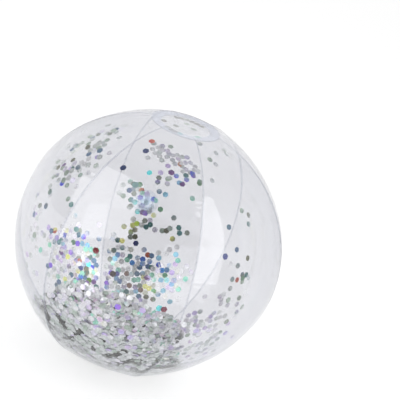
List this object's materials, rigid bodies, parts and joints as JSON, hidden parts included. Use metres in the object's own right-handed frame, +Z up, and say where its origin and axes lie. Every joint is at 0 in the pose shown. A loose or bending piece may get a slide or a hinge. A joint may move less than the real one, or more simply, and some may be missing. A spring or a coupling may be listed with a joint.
{
  "type": "inflatable beach ball",
  "caption": "Clear inflatable beach ball: film gores and pole discs, a push-in valve with strapped plug and non-return flap, and loose foil sequins inside, in a heap or clinging to the film.",
  "frame": {"origin": "middle of the bottom disc's flat outer face, which the ball stands on", "axes": "+Z up along the pole axis, -Y towards the middle of the gore that carries the valve, +X to the right seen from the front"},
  "size_m": [0.2834, 0.2772, 0.2706],
  "materials": {
    "clear_film": "gloss",
    "disc_film": "gloss",
    "clear_moulding": "satin",
    "plug_plastic": "satin",
    "flap_film": "gloss",
    "heap_foil": "gloss",
    "foil_teal": "gloss",
    "foil_indigo": "gloss",
    "foil_purple": "gloss",
    "foil_rust": "gloss",
    "foil_green": "gloss",
    "foil_silver": "gloss"
  },
  "bodies": {
    "ball": {"gore_1": "clear_film", "gore_2": "clear_film", "gore_3": "clear_film", "gore_4": "clear_film", "gore_5": "clear_film", "gore_6": "clear_film", "top_disc": "disc_film", "bottom_disc": "disc_film", "valve_flange": "clear_moulding", "sequin_01": "foil_teal", "sequin_02": "foil_indigo", "sequin_03": "foil_purple", "sequin_04": "foil_rust", "sequin_05": "foil_green", "sequin_06": "foil_silver", "sequin_07": "foil_teal", "sequin_08": "foil_indigo", "sequin_09": "foil_purple", "sequin_10": "foil_rust", "sequin_11": "foil_green", "sequin_12": "foil_silver", "sequin_13": "foil_teal", "sequin_14": "foil_indigo", "sequin_15": "foil_purple", "sequin_16": "foil_rust", "sequin_17": "foil_green", "sequin_18": "foil_silver", "sequin_19": "foil_teal", "sequin_20": "foil_indigo", "sequin_21": "foil_purple", "sequin_22": "foil_rust", "sequin_23": "foil_green", "sequin_24": "foil_silver", "sequin_25": "foil_teal", "sequin_26": "foil_indigo", "sequin_27": "foil_purple", "sequin_28": "foil_rust", "sequin_29": "foil_green", "sequin_30": "foil_silver", "sequin_31": "foil_teal", "sequin_32": "foil_indigo", "sequin_33": "foil_purple", "sequin_34": "foil_rust", "sequin_35": "foil_green", "sequin_36": "foil_silver"},
    "stem": {"valve_stem": "clear_moulding"},
    "plug": {"valve_plug": "plug_plastic", "plug_strap": "plug_plastic"},
    "flap": {"valve_flap": "flap_film"},
    "heap": {"sequin_heap": "heap_foil"}
  },
  "joints": [
    {"name": "valve_push", "type": "slide", "parent": "ball", "child": "stem", "axis": [0, -0.788, 0.6157], "range_m": [0, 0.011]},
    {"name": "plug_hinge", "type": "hinge", "parent": "stem", "child": "plug", "pos_m": [-0.0084, -0.11126, 0.22222], "axis": [0, -0.6157, -0.788], "range_deg": [0, 120]},
    {"name": "flap_hinge", "type": "hinge", "parent": "stem", "child": "flap", "pos_m": [-0.0049, -0.09708, 0.21114], "axis": [0, 0.6157, 0.788], "range_deg": [0, 45], "stiffness_Nm_per_rad": 0.00002, "springref_deg": -11.46},
    {"name": "heap_swing", "type": "hinge", "parent": "ball", "child": "heap", "pos_m": [0, 0, 0.13529], "axis": [0, -0.788, 0.6157], "continuous": true}
  ]
}
